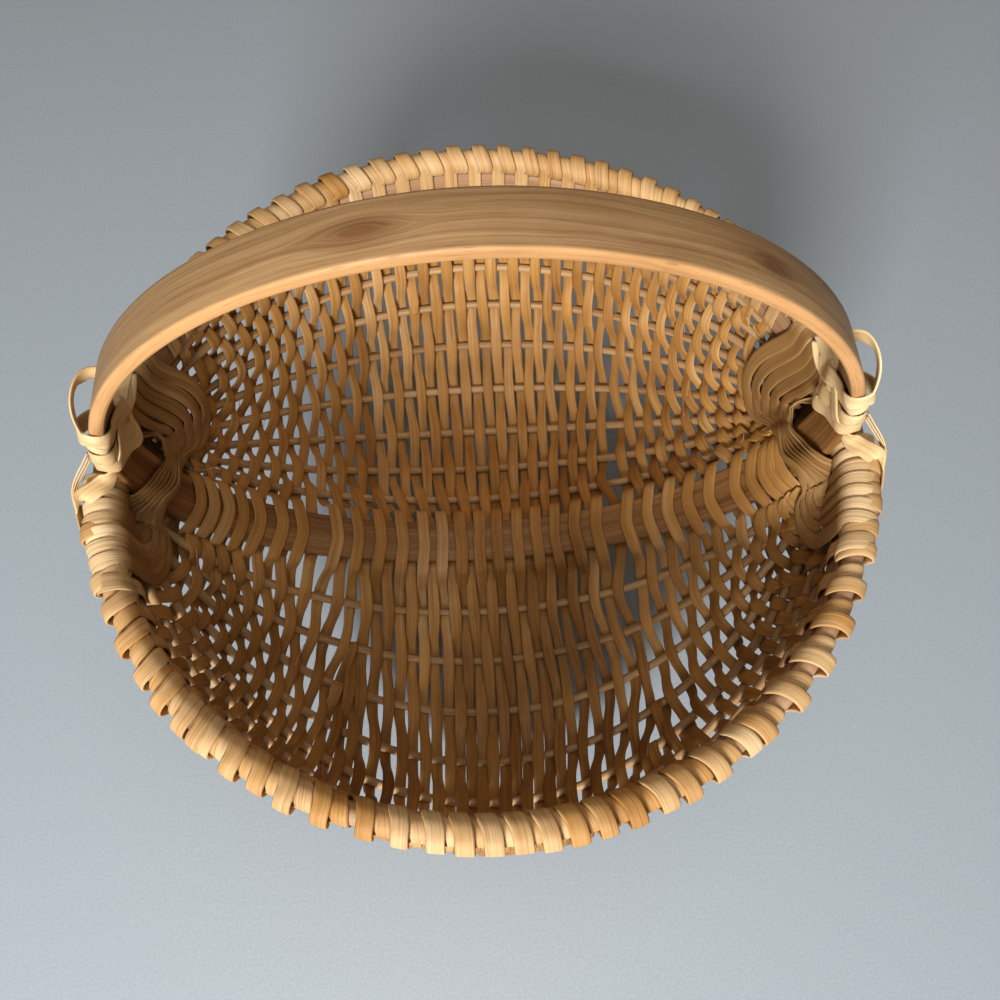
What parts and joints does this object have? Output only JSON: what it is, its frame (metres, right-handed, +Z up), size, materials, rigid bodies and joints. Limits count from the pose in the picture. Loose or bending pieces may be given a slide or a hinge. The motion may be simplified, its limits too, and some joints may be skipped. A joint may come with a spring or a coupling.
{
  "type": "buttocks basket",
  "caption": "Small round splint basket with two swelling lobes either side of a bent hoop that is both handle and spine, lashed to a round rim at each ear.",
  "frame": {"origin": "middle of the basket on the floor that its two lobes stand on", "axes": "+Z up, +X from ear to ear along the handle's arch, +Y from the near lobe to the far lobe"},
  "size_m": [0.2736, 0.2742, 0.2536],
  "materials": {
    "hoop_wood": "bare weathered bent wood, smooth",
    "rim_wood": "bare bent wood",
    "rib_wood": "bare round rod",
    "splint": "bare fibrous splint",
    "lashing_splint": "bare fibrous splint, paler"
  },
  "bodies": {
    "root": {"handle_hoop": "hoop_wood", "rim_band": "rim_wood", "rim_rod": "rim_wood", "rib_near_1": "rib_wood", "rib_near_2": "rib_wood", "rib_near_3": "rib_wood", "rib_near_4": "rib_wood", "rib_near_5": "rib_wood", "rib_near_6": "rib_wood", "rib_near_7": "rib_wood", "rib_near_8": "rib_wood", "rib_near_9": "rib_wood", "rib_far_1": "rib_wood", "rib_far_2": "rib_wood", "rib_far_3": "rib_wood", "rib_far_4": "rib_wood", "rib_far_5": "rib_wood", "rib_far_6": "rib_wood", "rib_far_7": "rib_wood", "rib_far_8": "rib_wood", "rib_far_9": "rib_wood", "weaving_left": "splint", "weaving_filler": "splint", "weaving_right": "splint", "ear_left": "lashing_splint", "ear_right": "lashing_splint", "cross_lashing_left": "lashing_splint", "cross_lashing_right": "lashing_splint"}
  },
  "joints": []
}
